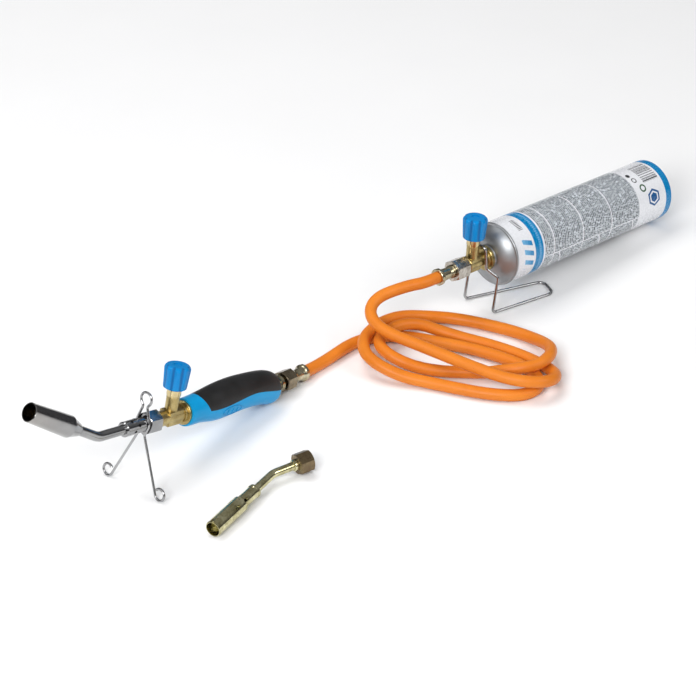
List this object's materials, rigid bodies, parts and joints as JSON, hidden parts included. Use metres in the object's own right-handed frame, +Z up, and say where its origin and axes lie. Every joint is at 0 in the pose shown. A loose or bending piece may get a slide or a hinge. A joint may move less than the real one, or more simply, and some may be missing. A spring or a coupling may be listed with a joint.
{
  "type": "propane torch kit",
  "caption": "Hand torch with bent burner, wire rest, valve and grip handle, joined by a coiled hose to a gas cartridge on a wire stand, with a loose spare burner.",
  "frame": {"origin": "on the floor under the middle of the kit without its hose", "axes": "+X from the burner towards the cartridge, +Y away from the spare burner, +Z up"},
  "size_m": [0.8478, 0.2129, 0.1422],
  "materials": {
    "burner": "polished stainless steel, slightly brushed",
    "jet": "plain turned brass",
    "nut_steel": "chromed hexagon faces",
    "brass": "cast and turned brass",
    "gland": "polished turned brass",
    "seal": "black rubber",
    "knob": "moulded blue plastic",
    "handle": "moulded blue plastic, satin",
    "grip": "soft black rubber, matt",
    "plated": "yellow passivated zinc plate",
    "hose": "orange rubber, smooth",
    "wire": "drawn steel wire",
    "can_print": "printed lacquer, white with blue and grey bands",
    "can_steel": "bare tinplate",
    "can_blue": "printed lacquer, blue",
    "spare_nut": "dark yellow-brown passivated zinc plate"
  },
  "bodies": {
    "kit": {"torch_valve_body": "brass", "torch_gland": "gland", "gas_jet": "jet", "handle_shell": "handle", "handle_grip": "grip", "gas_tube": "brass", "tail_nipple": "plated", "tail_ferrule": "plated", "hose": "hose", "tap_ferrule": "plated", "tap_nipple": "plated", "cartridge_valve_body": "brass", "cartridge_gland": "gland", "cartridge_stand": "wire"},
    "burner": {"burner_bell": "burner", "flame_holder": "jet", "burner_neck": "burner", "burner_socket": "burner"},
    "burner_nut": {"burner_nut": "nut_steel"},
    "torch_rest": {"torch_rest": "wire"},
    "torch_seal": {"torch_spindle_seal": "seal"},
    "torch_knob": {"torch_spindle": "gland", "torch_knob": "knob"},
    "tail_nut": {"tail_hose_nut": "plated"},
    "tap_nut": {"tap_hose_nut": "plated"},
    "cartridge_seal": {"cartridge_spindle_seal": "seal"},
    "cartridge_knob": {"cartridge_spindle": "gland", "cartridge_knob": "knob"},
    "can_gasket": {"tap_gasket": "seal"},
    "can": {"can_body": "can_print", "can_dome": "can_steel", "can_base": "can_blue", "can_valve": "can_steel"},
    "spare_burner": {"spare_tip": "plated", "spare_neck": "plated", "spare_cone": "plated"},
    "spare_nut": {"spare_nut": "spare_nut"}
  },
  "joints": [
    {"name": "burner_swivel", "type": "hinge", "parent": "kit", "child": "burner", "pos_m": [-0.29, 0.03975, 0.0634], "axis": [-0.9627, -0.0842, 0.2571], "continuous": true},
    {"name": "burner_nut_turn", "type": "hinge", "parent": "kit", "child": "burner_nut", "pos_m": [-0.28134, 0.04051, 0.06109], "axis": [-0.9627, -0.0842, 0.2571], "continuous": true},
    {"name": "torch_rest_swing", "type": "hinge", "parent": "kit", "child": "torch_rest", "pos_m": [-0.29, 0.03975, 0.0634], "axis": [-0.9627, -0.0842, 0.2571], "continuous": true},
    {"name": "torch_spindle_rise", "type": "slide", "parent": "kit", "child": "torch_seal", "axis": [0.2562, 0.0224, 0.9664], "range_m": [0, 0.002]},
    {"name": "torch_knob_turn", "type": "hinge", "parent": "torch_seal", "child": "torch_knob", "pos_m": [-0.24317, 0.04385, 0.09228], "axis": [0.2562, 0.0224, 0.9664], "range_deg": [0, 720]},
    {"name": "tail_nut_turn", "type": "hinge", "parent": "kit", "child": "tail_nut", "pos_m": [-0.09119, 0.05714, 0.01284], "axis": [0.9853, 0.0862, -0.1478], "continuous": true},
    {"name": "cartridge_spindle_rise", "type": "slide", "parent": "kit", "child": "cartridge_seal", "axis": [0.0872, 0, 0.9962], "range_m": [0, 0.002]},
    {"name": "cartridge_knob_turn", "type": "hinge", "parent": "cartridge_seal", "child": "cartridge_knob", "pos_m": [0.14814, 0.03165, 0.09681], "axis": [0.0872, 0, 0.9962], "range_deg": [0, 720]},
    {"name": "tap_nut_turn", "type": "hinge", "parent": "kit", "child": "tap_nut", "pos_m": [0.12822, 0.03165, 0.0584], "axis": [-0.9962, 0, 0.0872], "continuous": true},
    {"name": "cartridge_withdraw", "type": "slide", "parent": "kit", "child": "can_gasket", "axis": [0.9962, 0, -0.0872], "range_m": [0, 0.00363]},
    {"name": "cartridge_turn", "type": "hinge", "parent": "can_gasket", "child": "can", "pos_m": [0.30156, 0.03165, 0.04324], "axis": [0.9962, 0, -0.0872], "range_deg": [0, 1440]},
    {"name": "spare_burner_lift", "type": "slide", "parent": "kit", "child": "spare_burner", "axis": [0, 0, 1], "range_m": [0, 0.1]},
    {"name": "spare_nut_turn", "type": "hinge", "parent": "spare_burner", "child": "spare_nut", "pos_m": [-0.17638, -0.05407, 0.01132], "axis": [0.9779, -0.2079, 0.0227], "continuous": true}
  ],
  "couplings": [
    {"joint": "torch_knob_turn", "follows": "torch_spindle_rise", "rad_per_m": 6283.2},
    {"joint": "cartridge_knob_turn", "follows": "cartridge_spindle_rise", "rad_per_m": 6283.2},
    {"joint": "cartridge_withdraw", "follows": "cartridge_turn", "m_per_rad": 0.00014435}
  ]
}
